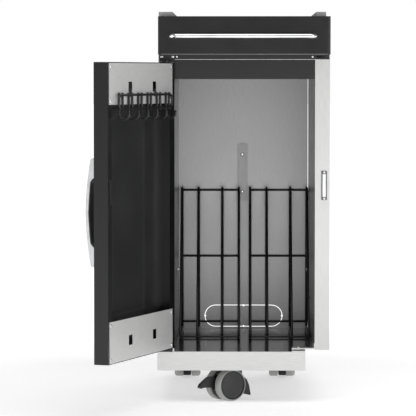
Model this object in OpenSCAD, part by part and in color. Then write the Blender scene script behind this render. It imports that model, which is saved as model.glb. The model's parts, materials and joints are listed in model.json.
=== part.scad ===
// Storage cabinet of an outdoor grill cart: a sheet-steel box on casters with a hinged door, a drawer under
// the worktop line, a utensil rack on the door and two wire racks that hold spare grates on edge.
// Millimetres. X is to the right, the front faces -Y, Z is up. The origin is on the floor under the middle
// of the cabinet body.

/* [Cabinet] */
// Width over the side walls
body_w = 392; // [380:1:420]
// Depth from the front posts to the rear edge of the side walls
body_d = 600; // [560:5:640]
// Thickness of each side wall
wall_t = 34; // [30:1:36]
// Top of the side walls
wall_top = 885; // [885:1:900]
// Height of the cabinet floor
floor_z = 119; // [119:1:122]
// Underside of the skirt
skirt_z = 75.5; // [75.5:0.5:78]
// How far the skirt stops short of the right side
skirt_short = 55; // [40:1:60]
// Sheet thickness of the walls
sheet = 1.5; // [1.2:0.1:2]
// Distance from the rear edge of the walls to the back panel
back_inset = 30; // [20:1:40]

/* [Door] */
// How far the door stands open
door_open = 110; // [0:5:110]
// Thickness of the door
door_t = 33; // [28:1:34]
// Bottom edge of the door
door_z0 = 129; // [128:1:135]
// Top edge of the door
door_z1 = 781.5; // [775:0.5:782]
// Gap between the closed door and the posts
door_gap = 6; // [5:0.5:8]
// Radius of the pivot pins
pin_r = 4; // [3:0.5:5]
// Height of the stainless plates at the top and bottom of the door
plate_h = 92; // [80:1:100]

/* [Drawer] */
// Bottom edge of the drawer front
drawer_z0 = 800; // [800:0.5:806]
// Height of the drawer front
drawer_h = 86.6; // [70:0.1:87]
// Depth of the drawer box
drawer_d = 480; // [400:10:500]
// Radius of the round bar handle
bar_r = 5.5; // [4:0.5:6]

/* [Grate racks] */
// Diameter of the divider wires
divider_d = 6; // [5:0.5:7]
// Diameter of the cross wires
cross_d = 5; // [4:0.5:6]
// Height of the racks above the cabinet floor
rack_h = 356; // [300:1:360]

/* [Utensil rack] */
// Diameter of its wire
hook_d = 5; // [4:0.5:6]
// Number of hooks
hooks = 6; // [4:1:6]
// Distance between hooks
hook_pitch = 55; // [50:1:56]

/* [Casters] */
// Wheel diameter
wheel_d = 75; // [70:1:75]
// Width of each wheel of a pair
wheel_w = 22; // [20:1:23]
// Distance from the swivel axis to the axle
trail = 22; // [18:1:24]
// Radius of the axle
axle_r = 4; // [3:0.5:5]

/* [Hidden] */
$fn = 48;
hw = body_w / 2;
front = -body_d / 2;
rear = body_d / 2;
in_w = hw - wall_t;
back_y = rear - back_inset;
skirt_x0 = -hw - 3;
skirt_x1 = hw - skirt_short;
skirt_top = floor_z - sheet;
wall_z0 = floor_z + 4;
step_z = floor_z + 7;
step_y = front + 100;
post_top = 789;
rail_z = post_top;
rail_h = 12;
rail_depth = 26;
top_rail_h = 12.5;

// door, drawn closed and then turned about the pivot
door_y1 = front - door_gap;
door_y0 = door_y1 - door_t;
pivot = [-hw + 15, door_y1 - 18];
plate_y = door_y1 + 1.2;
lip = [30, 20, 12];
slot_w = 22;
slot_h = 22;
slot_x = 71;
slot_z = door_z1 - 53.5;
low_slot_z = door_z0 + 44;
bush_r = pin_r + 4;
bush_h = 12;
leaf_t = 2.5;
handle_z = [336, 575];
handle_x = [126, 160];
handle_len = handle_z[1] - handle_z[0];
handle_mid_z = (handle_z[0] + handle_z[1]) / 2;
handle_base_t = 4;
// reach of the bow at its ends and in the middle, the rounding of its ends, and one half of the outline of
// the gap under it, from its foot to its middle
bow_end = 25;
bow_mid = 33;
bow_round = 5;
gap_half = [[84, -10], [80, 0], [74, 15], [66, 21], [40, 23.5], [0, 26]];
lining_t = 2.8;
handle_screw_x = (handle_x[0] + handle_x[1]) / 2;
handle_screw_z = [handle_z[0] + 24, handle_z[1] - 24];

// magnetic catch on the right post
catch_x = hw - 13;
catch_z = 501;

// utensil rack, drawn with the door closed
hook_y = plate_y + 8;
weld_gap = 0.05;
hook_top = slot_z - 18;
hook_low = hook_top - 29.5;
hook_rail_half = 157;
hook_shift = -5;
hook_side = 10;
hook_drop = 23.5;
hook_reach = 23;
hanger_x = [-68, 77];

// drawer
drawer_hw = in_w - 13.3;
drawer_box_z = [drawer_z0 + 4, drawer_z0 + 62];
runner_z = drawer_z0 + 30;
bar_z = drawer_z0 + 41.5;
bar_x = [-165, 160.5];
bar_out = 30;

// grate racks
rack_gap = 0.5;
rack_z0 = floor_z + rack_gap + divider_d / 2;
rack_z1 = floor_z + rack_h;
rack_rear = back_y - 14;
rack_front = 8;
rack_bend = 8;
rack_slots = [157, 116, 57, 16];
left_rack_shift = 4;
channel_x = -3;
channel_depth = 5;

// casters: stem position and heading, the way the trail points
caster_at = [[-24.5, -230, 214], [-140, 235, 90], [96, 235, 90]];
caster_plate_z = 97;
caster_rail_y = [-230, 235];
fork_w = 18;
wheel_gap = 1;
bearing_r = 18;
hood_r = wheel_d / 2 - 5;
rim_r = wheel_d / 2 - 4.5;
pedal_pin_r = 2;
pedal_pin_at = [22, 2.5];

// ---- shared shapes ----

// a box from its lowest to its highest corner
module box(lo, hi) {
    translate(lo) cube(hi - lo);
}

// a cylinder that runs from a point along X or Y
module rod_x(p, r, h) {
    translate(p) rotate([0, 90, 0]) cylinder(r = r, h = h);
}

module rod_y(p, r, h) {
    translate(p) rotate([-90, 0, 0]) cylinder(r = r, h = h);
}

// the head of a screw that stands on a face and points along Y (dir -1 or 1) or up
module screw_y(p, dir = -1, r = 4) {
    translate(p) rotate([dir > 0 ? -90 : 90, 0, 0]) cylinder(r1 = r, r2 = r * 0.62, h = 2);
}

module screw_z(p, r = 4) {
    translate(p) cylinder(r1 = r, r2 = r * 0.62, h = 2);
}

// ---- bent wire: straight rods and round bends, so it stays a true tube ----

function unit(v) = v / norm(v);

// a round rod between two points
module rod(a, b, d) {
    v = b - a;
    translate(a) rotate([0, acos(v.z / norm(v)), atan2(v.y, v.x)]) cylinder(d = d, h = norm(v));
}

// length that a bend of radius r takes from each side of the corner b
function bend_cut(a, b, c, r) = r / tan(acos(unit(a - b) * unit(c - b)) / 2);

// the bend that rounds the corner b on the way from a to c
module bend(a, b, c, r, d) {
    u = unit(a - b);
    turn = 180 - acos(u * unit(c - b));
    start = b + u * bend_cut(a, b, c, r);
    mid = b + unit(u + unit(c - b)) * (r / cos(turn / 2));
    e1 = unit(start - mid);
    e3 = cross(e1, -u);
    multmatrix([[e1.x, -u.x, e3.x, mid.x], [e1.y, -u.y, e3.y, mid.y], [e1.z, -u.z, e3.z, mid.z], [0, 0, 0, 1]])
        rotate_extrude(angle = turn) translate([r, 0]) circle(d = d);
}

// a wire of diameter d through the points of a path, its corners rounded to radius r
module wire(path, d, r = 1) {
    last = len(path) - 1;
    cuts = [for (i = [0 : last]) i == 0 || i == last ? 0 : bend_cut(path[i - 1], path[i], path[i + 1], r)];
    union() {
        for (i = [0 : last - 1])
            let (way = unit(path[i + 1] - path[i]))
                rod(path[i] + way * cuts[i], path[i + 1] - way * cuts[i + 1], d);
        if (last > 1)
            for (i = [1 : last - 1]) bend(path[i - 1], path[i], path[i + 1], r, d);
    }
}

// points of a path whose corners are rounded to radius r
function rounded(path, r, steps = 5) = let (last = len(path) - 1) [
    path[0],
    for (i = [1 : last - 1])
        let (b = path[i], u = unit(path[i - 1] - b), v = unit(path[i + 1] - b),
             cut = bend_cut(path[i - 1], b, path[i + 1], r),
             mid = b + unit(u + v) * norm([r, cut]))
        for (k = [0 : steps])
            mid + unit(b + u * cut * (1 - k / steps) + v * cut * k / steps - mid) * r,
    path[last]
];

// a closed tube of flat faces along a path that lies in a plane square to X
module side_tube(path, d, sides = 12) {
    last = len(path) - 1;
    tangent = [for (i = [0 : last]) unit(path[min(i + 1, last)] - path[max(i - 1, 0)])];
    polyhedron(
        points = [
            for (i = [0 : last], k = [0 : sides - 1])
                let (a = 360 * k / sides, out = cross(tangent[i], [1, 0, 0]))
                path[i] + (cos(a) * [1, 0, 0] + sin(a) * out) * d / 2
        ],
        faces = [
            [for (k = [0 : sides - 1]) k],
            [for (k = [sides - 1 : -1 : 0]) last * sides + k],
            for (i = [0 : last - 1], k = [0 : sides - 1])
                let (n = (k + 1) % sides, a = i * sides, b = a + sides)
                [a + k, b + k, b + n, a + n]
        ]
    );
}

// places a child drawn on the closed door on the open door
module on_door() {
    translate([pivot.x, pivot.y, 0]) rotate(-door_open) translate([-pivot.x, -pivot.y, 0]) children();
}

// ---- base ----

module base_frame() {
    flange = 14;
    color("lightgray") difference() {
        box([skirt_x0, front, skirt_z], [skirt_x1, rear, skirt_top]);
        box([skirt_x0 + sheet, front + sheet, skirt_z + sheet],
            [skirt_x1 - sheet, rear - sheet, skirt_top + 1]);
        box([skirt_x0 + flange, front + flange, skirt_z - 1], [skirt_x1 - flange, rear - flange, skirt_top]);
    }
}

// hat sections across the base that carry the caster plates
module caster_rails() {
    half = 46;
    low = caster_plate_z + 3;
    color("gray") for (y = caster_rail_y) difference() {
        box([skirt_x0 + sheet, y - half, low], [skirt_x1 - sheet, y + half, skirt_top]);
        box([skirt_x0, y - half + sheet, low + sheet], [skirt_x1, y + half - sheet, skirt_top + 1]);
        for (c = caster_at) if (abs(c.y - y) < 1) caster_holes(c);
    }
}

// at its front right corner, beyond the skirt, the floor steps up to meet the right wall
module floor_pan() {
    lip_h = 12;
    y_rear = back_y + sheet;
    x1 = skirt_x1;
    color("silver") union() {
        box([-in_w, front, skirt_top], [x1, y_rear, floor_z]);
        box([x1 - sheet, step_y, skirt_top], [in_w, y_rear, floor_z]);
        box([x1 - sheet, front, floor_z], [x1, step_y + sheet, step_z]);
        box([x1 - sheet, front, step_z - sheet], [in_w, step_y + sheet, step_z]);
        box([x1 - sheet, step_y, skirt_top], [in_w, step_y + sheet, step_z]);
        box([-in_w, front + 2, floor_z], [-in_w + sheet, back_y, floor_z + lip_h]);
        box([in_w - sheet, front + 2, step_z - sheet], [in_w, step_y + sheet, step_z + lip_h]);
        box([in_w - sheet, step_y, skirt_top], [in_w, back_y, step_z + lip_h]);
    }
}

// ---- walls ----

// outer skin of a side wall: a C of sheet with front and rear returns. side is -1 or 1
module side_panel(side) {
    z0 = side < 0 ? skirt_top : wall_z0;
    difference() {
        box([min(side * in_w, side * hw), front, z0], [max(side * in_w, side * hw), rear, wall_top]);
        box([min(side * (in_w - 1), side * (hw - sheet)), front + sheet, z0 + sheet],
            [max(side * (in_w - 1), side * (hw - sheet)), rear - sheet, wall_top - sheet]);
        // the front post stops under the drawer
        box([min(side * (in_w - 1), side * (hw - sheet)), front - 1, post_top],
            [max(side * (in_w - 1), side * (hw - sheet)), front + sheet + 1, wall_top - sheet]);
        if (side > 0)
            for (y = [-240, 240], z = [220, 780])
                rod_x([hw - sheet - 2, y, z], 4.5, 6);
    }
}

module left_side_panel() {
    color("lightgray") side_panel(-1);
}

module right_side_panel() {
    color("lightgray") side_panel(1);
}

// inner skin of a side wall
module liner(side) {
    x = side * in_w;
    difference() {
        box([min(x, x + side * sheet), front + sheet, (side < 0 ? skirt_top : wall_z0) + sheet],
            [max(x, x + side * sheet), back_y, wall_top - sheet]);
        // room for the rail that runs across above the doorway
        box([x - 3, front, rail_z - 0.1], [x + 3, front + rail_depth + 0.1, rail_z + rail_h + 0.1]);
    }
}

module left_liner() {
    color("silver") liner(-1);
}

module right_liner() {
    color("silver") liner(1);
}

// a thin obround track cut through the panel, with small round notches at its ends and sides. Bridges
// behind two dividers of the racks hold the piece inside it
module knock_out_slit() {
    length = 195;
    height = 55;
    cut = 1.6;
    notch_r = 2.2;
    bridge = 5;
    z_mid = floor_z + 31;
    difference() {
        translate([0, back_y - 1, z_mid]) rotate([-90, 0, 0]) linear_extrude(sheet + 2) union() {
            difference() {
                obround(length, height);
                obround(length - 2 * cut, height - 2 * cut);
            }
            for (s = [-1, 1]) {
                translate([s * (length / 2 - cut), 0]) circle(notch_r);
                translate([0, s * (height / 2 - cut)]) circle(notch_r);
            }
        }
        for (x = [-rack_slots[2] + left_rack_shift, rack_slots[2]])
            box([x - bridge / 2, back_y - 2, floor_z], [x + bridge / 2, back_y + sheet + 2, z_mid + height]);
    }
}

module obround(length, height) {
    for (s = [-1, 1]) translate([s * (length - height) / 2, 0]) circle(d = height);
    square([length - height, height], center = true);
}

// stops a little short of the right liner
module back_panel() {
    flange = 18;
    x1 = in_w - 2;
    color("silver") difference() {
        union() {
            box([-in_w, back_y, floor_z], [x1, back_y + sheet, wall_top]);
            for (x = [-in_w, x1 - sheet])
                box([x, back_y + sheet, floor_z], [x + sheet, back_y + flange, wall_top]);
            box([-in_w, back_y + sheet, floor_z], [x1, back_y + flange, floor_z + sheet]);
            box([-in_w, back_y + sheet, wall_top - sheet], [x1, back_y + flange, wall_top]);
        }
        knock_out_slit();
    }
}

// ---- top ----

// channel across the top of the doorway, open at the back
module header_rail() {
    depth = 28;
    z0 = 744;
    z1 = post_top - 0.5;
    color("dimgray") difference() {
        box([-in_w, front, z0], [in_w, front + depth, z1]);
        box([-in_w - 1, front + sheet, z0 + sheet], [in_w + 1, front + depth + 1, z1 - sheet]);
    }
}

// channel over the posts, between the door and the drawer
module top_front_rail() {
    color("dimgray") difference() {
        box([-hw + sheet, front, rail_z], [hw - sheet, front + rail_depth, rail_z + rail_h]);
        box([-hw, front + sheet, rail_z + sheet], [hw, front + rail_depth + 1, rail_z + rail_h - sheet]);
        box([in_w + 3, front - 1, rail_z + 4], [in_w + 21, front + 2, rail_z + 8]);
    }
}

module top_rear_rail() {
    depth = 26;
    drop = 34;
    color("gray") difference() {
        box([-in_w, back_y - depth, wall_top - drop], [in_w, back_y, wall_top]);
        box([-in_w - 1, back_y - depth + sheet, wall_top - drop - 1],
            [in_w + 1, back_y - sheet, wall_top - sheet]);
    }
}

// flat-topped rail along the top of a wall, closed at the front and drilled for a worktop
module worktop_rail(x0, x1, hole_x) {
    hole_r = 3.3;
    top_t = 2;
    y0 = front + 4;
    color("darkgray") difference() {
        box([x0, y0, wall_top], [x1, rear, wall_top + top_rail_h]);
        box([x0 + sheet, y0 + sheet, wall_top - 1], [x1 - sheet, rear + 1, wall_top + top_rail_h - top_t]);
        for (y = [-220, 220])
            translate([hole_x, y, wall_top]) cylinder(r = hole_r, h = 20);
    }
}

// the left rail has a small gusset at its front end
module left_worktop_rail() {
    gusset = 7;
    x1 = -hw + 32;
    worktop_rail(-hw + 0.5, x1, -hw + 17);
    color("dimgray") translate([0, front + 4 + sheet, 0]) rotate([90, 0, 0]) linear_extrude(sheet)
        polygon([[x1 - 0.1, wall_top], [x1 + gusset, wall_top], [x1 - 0.1, wall_top + top_rail_h]]);
}

module right_worktop_rail() {
    worktop_rail(hw - 31, hw - 9, hw - 20);
}

// ---- hinge ----

// lugs that carry the pivot pins, with the leaves that hold them to the frame
module hinge_brackets() {
    lug = 3;
    top_z = door_z1 + 1.5;
    low_z = door_z0 - 1.5 - lug;
    reach = 12;
    color("dimgray") difference() {
        union() {
            for (z = [low_z, top_z]) {
                box([pivot.x - reach, pivot.y, z], [pivot.x + reach, front, z + lug]);
                translate([pivot.x, pivot.y, z]) cylinder(r = reach, h = lug);
            }
            box([-hw + 2, front - leaf_t, top_z], [-hw + 37, front, rail_z + rail_h - 0.5]);
            box([-hw + 2, front - leaf_t, low_z - 6], [-hw + 32, front, low_z + lug]);
        }
        for (z = [low_z, top_z])
            translate([pivot.x, pivot.y, z - 1]) cylinder(r = pin_r, h = lug + 2);
    }
}

module hinge_pins() {
    into = 11;
    color("silver") for (z = [door_z0 - 4.5, door_z1 - into])
        translate([pivot.x, pivot.y, z]) cylinder(r = pin_r, h = into + 4.5);
}

// ---- catch, hanger and small parts ----

module catch_housing() {
    color("gray") difference() {
        box([catch_x - 6.5, front - 3.5, catch_z - 33.5], [catch_x + 6.5, front, catch_z + 33.5]);
        box([catch_x - 3.5, front - 4, catch_z - 26], [catch_x + 3.5, front - 1.5, catch_z + 26]);
    }
}

module catch_magnet() {
    color("gainsboro")
        box([catch_x - 3.5, front - 4, catch_z - 26], [catch_x + 3.5, front - 1.5, catch_z + 26]);
}

// shallow hat section screwed to the back panel between the racks
module hanger_channel() {
    half = 13.3;
    top_half = 8.5;
    t = 1.2;
    z0 = 439;
    z1 = 582;
    y0 = back_y - channel_depth;
    color("silver") translate([channel_x, 0, 0]) difference() {
        box([-half, y0, z0], [half, back_y, z1]);
        box([-top_half + t, y0 + t, z0 - 1], [top_half - t, back_y + 1, z1 + 1]);
        for (s = [-1, 1]) mirror([s < 0 ? 1 : 0, 0, 0])
            box([top_half, y0 - 1, z0 - 1], [half + 1, back_y - t, z1 + 1]);
    }
}

// pegs on the liners, just behind the racks' slanted front legs
module rack_pegs() {
    color("silver") for (side = [-1, 1])
        rod_x([side > 0 ? in_w - 9 : -in_w, 115, 278], 4, 9);
}

// small Z-shaped bracket that ties the floor pan's two levels together at the front right
module corner_plate() {
    t = 1.5;
    x0 = skirt_x1 - 31;
    color("whitesmoke") union() {
        box([x0, front, floor_z], [skirt_x1 - sheet, front + 24, floor_z + t]);
        box([x0, front + 22.5, floor_z + t], [skirt_x1 - sheet, front + 24, step_z]);
        box([x0, front, step_z], [in_w - sheet, front + 24, step_z + t]);
    }
}

module cabinet_screws() {
    color("whitesmoke") {
        // hinge leaf, front rail, catch
        for (x = [-hw + 8, -hw + 33]) screw_y([x, front - leaf_t, rail_z + 6], r = 3.5);
        for (x = [-in_w + 8, in_w - 6]) screw_y([x, front, rail_z + 6], r = 3);
        for (z = [catch_z - 30, catch_z + 30]) screw_y([catch_x, front - 3.5, z], r = 3);
        // hanger channel, corner plate, back panel
        for (z = [462, 555]) screw_y([channel_x, back_y - channel_depth, z], r = 4.5);
        screw_z([skirt_x1 - 16, front + 12, step_z + 1.5], r = 5);
        for (x = [-in_w + 9, -60, 60, in_w - 11], z = [wall_top - 14, floor_z + 14])
            screw_y([x, back_y + sheet, z], dir = 1);
    }
}

// fixed half of each drawer slide, a shallow C that opens inwards
module drawer_slides() {
    color("silver") for (side = [-1, 1]) mirror([side < 0 ? 1 : 0, 0, 0]) difference() {
        box([in_w - 12.5, front + 40, runner_z - 18], [in_w, front + 40 + drawer_d, runner_z + 18]);
        box([in_w - 13, front + 39, runner_z - 15], [in_w - 1.5, front + 41 + drawer_d, runner_z + 15]);
    }
}

// ---- door ----

module door_shell() {
    color([0.12, 0.12, 0.13]) on_door() difference() {
        box([-hw, door_y0, door_z0], [hw, door_y1, door_z1]);
        box([-hw + sheet, door_y0 + sheet, door_z0 + sheet], [hw - sheet, door_y1 - sheet, door_z1 - sheet]);
        box([-hw + lip[0], door_y0 + sheet, door_z0 + lip[2]], [hw - lip[1], door_y1 + 1, door_z1 - lip[2]]);
        for (z = [door_z0, door_z1])
            translate([pivot.x, pivot.y, z - 2]) cylinder(r = bush_r, h = 4);
        // handle screws come through the skin
        for (z = handle_screw_z) rod_y([handle_screw_x, door_y0 - 1, z], 2.6, 4);
    }
}

// a stainless plate across the inside of the door, with two square slots
module door_plate(z0, z1, z_slot) {
    on_door() difference() {
        box([-hw + lip[0] - 14, door_y1, z0], [hw - 6, plate_y, z1]);
        for (x = [-slot_x, slot_x])
            box([x - slot_w / 2, door_y1 - 1, z_slot - slot_h / 2],
                [x + slot_w / 2, plate_y + 1, z_slot + slot_h / 2]);
    }
}

module door_top_plate() {
    color("gainsboro") door_plate(door_z1 - plate_h, door_z1 - 2, slot_z);
}

module door_bottom_plate() {
    color("gainsboro") door_plate(door_z0 + 2, door_z0 + plate_h, low_slot_z);
}

// flanged plastic bushes in the door's top and bottom edges
module door_bushes() {
    clearance = 0.05;
    color("dimgray") on_door() for (top = [0, 1])
        translate([pivot.x, pivot.y, top == 1 ? door_z1 : door_z0]) mirror([0, 0, top]) difference() {
            union() {
                cylinder(r = bush_r, h = bush_h);
                translate([0, 0, -1.2]) cylinder(r = bush_r + 2.5, h = 1.2);
            }
            translate([0, 0, -2]) cylinder(r = pin_r + clearance, h = bush_h + 3);
        }
}

// outline of the bow: height along the door, distance from the handle's base. It runs on past the base
function bow(steps = 16) = concat(
    [[-handle_len / 2, -2 * bow_round]],
    [for (i = [0 : steps])
        [(i / steps - 0.5) * handle_len, bow_end + (bow_mid - bow_end) * cos(180 * i / steps - 90)]],
    [[handle_len / 2, -2 * bow_round]]
);

// outline of the gap under the bow
module gap() {
    last = len(gap_half) - 1;
    polygon(concat(gap_half, [for (i = [last - 1 : -1 : 0]) [-gap_half[i].x, gap_half[i].y]]));
}

// stands outlines up on the handle's base, across its width
module on_handle() {
    on_door() translate([handle_x[0], door_y0 - handle_base_t, handle_mid_z]) rotate([90, 0, 90])
        linear_extrude(handle_x[1] - handle_x[0]) rotate(90) intersection() {
            children();
            translate([-handle_len, 0]) square([2 * handle_len, 2 * bow_mid]);
        }
}

// arched grip with solid ends
module handle_bow() {
    color("silver") on_handle() difference() {
        offset(r = bow_round) offset(delta = -bow_round) polygon(bow());
        gap();
    }
}

// soft lining on the inside of the grip
module handle_lining() {
    play = 0.05;
    color([0.1, 0.1, 0.1]) on_handle() difference() {
        offset(delta = -play) gap();
        offset(delta = -lining_t) gap();
    }
}

module handle_base() {
    color([0.25, 0.25, 0.26]) on_door()
        translate([handle_screw_x, door_y0, handle_mid_z]) rotate([90, 90, 0])
            linear_extrude(handle_base_t) obround(handle_len, handle_x[1] - handle_x[0] + 6);
}

module door_strike() {
    color("gray") on_door() box([hw - 19, door_y1, catch_z - 26], [hw - 7, door_y1 + 1, catch_z + 26]);
}

module door_screws() {
    color("whitesmoke") on_door() {
        for (x = [-hw + 22, hw - 12], z = [door_z1 - 10, door_z1 - plate_h + 8])
            screw_y([x, plate_y, z], dir = 1, r = 3.5);
        for (x = [-hw + 22, hw - 12], z = [door_z0 + 10, door_z0 + plate_h - 8])
            screw_y([x, plate_y, z], dir = 1, r = 3.5);
        for (z = handle_screw_z) {
            rod_y([handle_screw_x, door_y0, z], 2.55, sheet);
            screw_y([handle_screw_x, door_y0 + sheet, z], dir = 1, r = 5);
        }
    }
}

// ---- utensil rack ----

// one hook: a leg beside the rails, a round U away from the door and a free tip
module hook(x) {
    y = hook_y - hook_d - weld_gap;
    wire([[x, y, hook_top + hook_d], [x, y, hook_low - hook_drop],
          [x, y + hook_reach, hook_low - hook_drop], [x, y + hook_reach, hook_low - 6]],
         hook_d, hook_reach / 2 - 0.2);
}

// rails, hooks and hangers. Wires that are welded side by side stand a hair apart here
module utensil_rack() {
    low_edge = slot_z - slot_h / 2;
    x1 = hook_rail_half;
    behind = hook_y - hook_d - weld_gap;
    color([0.2, 0.2, 0.2]) on_door() union() {
        wire([[0, hook_y, hook_top], [x1, hook_y, hook_top], [x1, hook_y, hook_low],
              [-x1, hook_y, hook_low], [-x1, hook_y, hook_top], [-0.1, hook_y, hook_top]], hook_d, 13);
        for (i = [0 : hooks - 1]) {
            x = hook_shift + (i - (hooks - 1) / 2) * hook_pitch;
            hook(x + hook_side);
            rod([x - hook_side, behind, hook_low - hook_d], [x - hook_side, behind, hook_top + hook_d], hook_d);
        }
        for (x = hanger_x)
            wire([[x, behind, hook_top - 4], [x, behind, low_edge + hook_d / 2 + 0.4],
                  [x, door_y1 - 4.5, low_edge + hook_d / 2 + 0.4], [x, door_y1 - 4.5, low_edge - 9]],
                 hook_d, 3);
    }
}

// ---- drawer ----

module drawer_front() {
    r = 6;
    color([0.12, 0.12, 0.13]) difference() {
        translate([0, 0, drawer_z0]) linear_extrude(drawer_h) union() {
            for (s = [-1, 1]) translate([s * (hw - r), door_y0 + r]) circle(r);
            translate([-hw + r, door_y0]) square([body_w - 2 * r, r * 2]);
            translate([-hw, door_y0 + r]) square([body_w, door_t - r]);
        }
        box([-hw + sheet, door_y0 + sheet, drawer_z0 + sheet],
            [hw - sheet, door_y1 + 1, drawer_z0 + drawer_h - sheet]);
        for (x = bar_x) rod_y([x, door_y0 - 1, bar_z], bar_r, 4);
    }
}

// open-topped box, with a deep front wall that fills the hollow of the drawer front
module drawer_box() {
    t = 1.2;
    color("lightgray") difference() {
        box([-drawer_hw, door_y1 - 8, drawer_box_z[0]], [drawer_hw, front + 40 + drawer_d, drawer_box_z[1]]);
        box([-drawer_hw + t, door_y1 - 8 + t, drawer_box_z[0] + t],
            [drawer_hw - t, front + 40 + drawer_d - t, drawer_box_z[1] + 1]);
    }
}

// round bar with its ends bent back into the drawer front
module drawer_bar() {
    bend = 14;
    y = door_y0 - bar_out;
    x0 = bar_x[0];
    x1 = bar_x[1];
    color("whitesmoke") union() {
        rod_x([x0 + bend, y, bar_z], bar_r, x1 - x0 - 2 * bend);
        for (s = [-1, 1]) {
            translate([s < 0 ? x0 + bend : x1 - bend, y + bend, bar_z]) mirror([s < 0 ? 1 : 0, 0, 0])
                rotate([0, 0, -90]) rotate_extrude(angle = 90) translate([bend, 0]) circle(bar_r);
            rod_y([s < 0 ? x0 : x1, y + bend, bar_z], bar_r, bar_out - bend + sheet);
        }
    }
}

module drawer_runners() {
    color("gray") for (s = [-1, 1]) mirror([s < 0 ? 1 : 0, 0, 0])
        box([drawer_hw, front + 41, runner_z - 11], [drawer_hw + 9, front + 40 + drawer_d - 2, runner_z + 11]);
}

// ---- grate racks ----

// one divider seen from the side: up the rear leg, down the slanted front leg, back along the floor
function divider(x) = [
    [x, rack_rear, rack_z0 + 2],
    [x, rack_rear, rack_z1 - divider_d / 2],
    [x, rack_rear - 33, rack_z1 - divider_d / 2],
    [x, rack_front, rack_z0],
    [x, rack_rear - divider_d - weld_gap, rack_z0]
];

// cross wires tie the four dividers of a rack together, three behind the rear legs and one in front of the
// bends at the foot of the slanted legs. The left rack is the right one mirrored and moved over a little
module grate_rack(side) {
    touch = (divider_d + cross_d) / 2 + weld_gap;
    slots = side * rack_slots + [for (x = rack_slots) side < 0 ? left_rack_shift : 0];
    x0 = slots[0] + side * 2;
    x1 = slots[3];
    foot = [rack_front, rack_z0];
    way = unit([rack_rear - 33, rack_z1 - divider_d / 2] - foot);
    mid = foot + unit(way + [1, 0]) * rack_bend / sin(acos(way.x) / 2);
    front_rod = mid - [cos(36), sin(36)] * (rack_bend + touch);
    color([0.18, 0.18, 0.18]) union() {
        for (x = slots) side_tube(rounded(divider(x), rack_bend), divider_d);
        for (z = [rack_z0 + 14, floor_z + 182, rack_z1 - 9])
            rod([x0, rack_rear + touch, z], [x1, rack_rear + touch, z], cross_d);
        rod([x0, front_rod.x, front_rod.y], [x1, front_rod.x, front_rod.y], cross_d);
    }
}

module left_grate_rack() {
    grate_rack(-1);
}

module right_grate_rack() {
    grate_rack(1);
}

// ---- casters ----

// places a child drawn with its stem on the Z axis and its trail along +X
module at_caster(c) {
    translate([c.x, c.y, 0]) rotate(c.z) children();
}

module caster_holes(c) {
    for (dx = [-24, 24], dy = [-24, 24])
        translate([c.x + dx, c.y + dy, caster_plate_z - 1]) cylinder(r = 3.25, h = 12);
}

module caster_plates() {
    color("silver") for (c = caster_at) difference() {
        translate([c.x - 31, c.y - 31, caster_plate_z]) cube([62, 62, 3]);
        caster_holes(c);
        translate([c.x, c.y, caster_plate_z - 1]) cylinder(r = 6.05, h = 5);
    }
}

module caster_bolts() {
    color("silver") for (c = caster_at, dx = [-24, 24], dy = [-24, 24])
        translate([c.x + dx, c.y + dy, 0]) union() {
            translate([0, 0, caster_plate_z - 4]) cylinder(r = 5.5, h = 4, $fn = 6);
            translate([0, 0, caster_plate_z - 0.5]) cylinder(r = 3.2, h = 3 + sheet + 1.5);
            translate([0, 0, caster_plate_z + 3 + sheet]) cylinder(r = 5.5, h = 4, $fn = 6);
        }
}

// moulded body between the wheels: web, bearing cup over the wheels, tail, and a steel stem
module caster_hood(pedal) {
    axle_z = wheel_d / 2;
    cup_z = wheel_d + 2;
    difference() {
        union() {
            translate([trail, fork_w / 2, axle_z]) rotate([90, 0, 0]) cylinder(r = hood_r, h = fork_w);
            translate([-bearing_r, -fork_w / 2, axle_z + 10]) cube([2 * bearing_r, fork_w, cup_z - axle_z - 9]);
            translate([0, 0, cup_z]) cylinder(r = bearing_r, h = caster_plate_z - 3.4 - cup_z);
            translate([0, 0, caster_plate_z - 4]) cylinder(r = 6, h = 6.8);
            // tail
            translate([trail, fork_w / 2, axle_z]) rotate([90, 0, 0]) linear_extrude(fork_w)
                polygon([[-15, 27], [-38, 22], [-54, 8], [-60, -5], [-64.5, -26], [-63, -29], [-52, -26],
                         [-44, -12], [-28, -12]]);
        }
        translate([trail, fork_w, axle_z]) rotate([90, 0, 0]) cylinder(r = axle_r, h = 2 * fork_w);
        if (pedal) {
            // pocket that the brake pedal swings in, and the hole for its pin
            translate([trail + 14.5, -6.5, axle_z - 9.5]) cube([40, 13, 31.5]);
            pedal_pin(pedal_pin_r);
        }
    }
}

// cross pin of the brake pedal, or the hole for it
module pedal_pin(r) {
    translate([trail + pedal_pin_at.x, fork_w / 2, wheel_d / 2 + pedal_pin_at.y]) rotate([90, 0, 0])
        cylinder(r = r, h = fork_w);
}

module caster_axle() {
    half = fork_w / 2 + wheel_gap + wheel_w - 5;
    translate([trail, half, wheel_d / 2]) rotate([90, 0, 0]) cylinder(r = axle_r, h = 2 * half);
}

// hub of one wheel: bored boss, web and rim. s is the side, 1 or -1
module caster_hub(s) {
    translate([trail, 0, wheel_d / 2]) mirror([0, s < 0 ? 1 : 0, 0])
        translate([0, fork_w / 2 + wheel_gap, 0]) rotate([-90, 0, 0]) difference() {
            union() {
                cylinder(r = rim_r, h = wheel_w - 3);
                translate([0, 0, wheel_w - 3]) cylinder(r1 = rim_r, r2 = rim_r - 1.5, h = 1.5);
            }
            translate([0, 0, -1]) cylinder(r = axle_r + 0.05, h = wheel_w - 2);
            translate([0, 0, wheel_w - 5]) difference() {
                cylinder(r = rim_r - 3, h = 6);
                translate([0, 0, -1]) cylinder(r1 = rim_r - 6, r2 = 8, h = 6);
            }
        }
}

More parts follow.
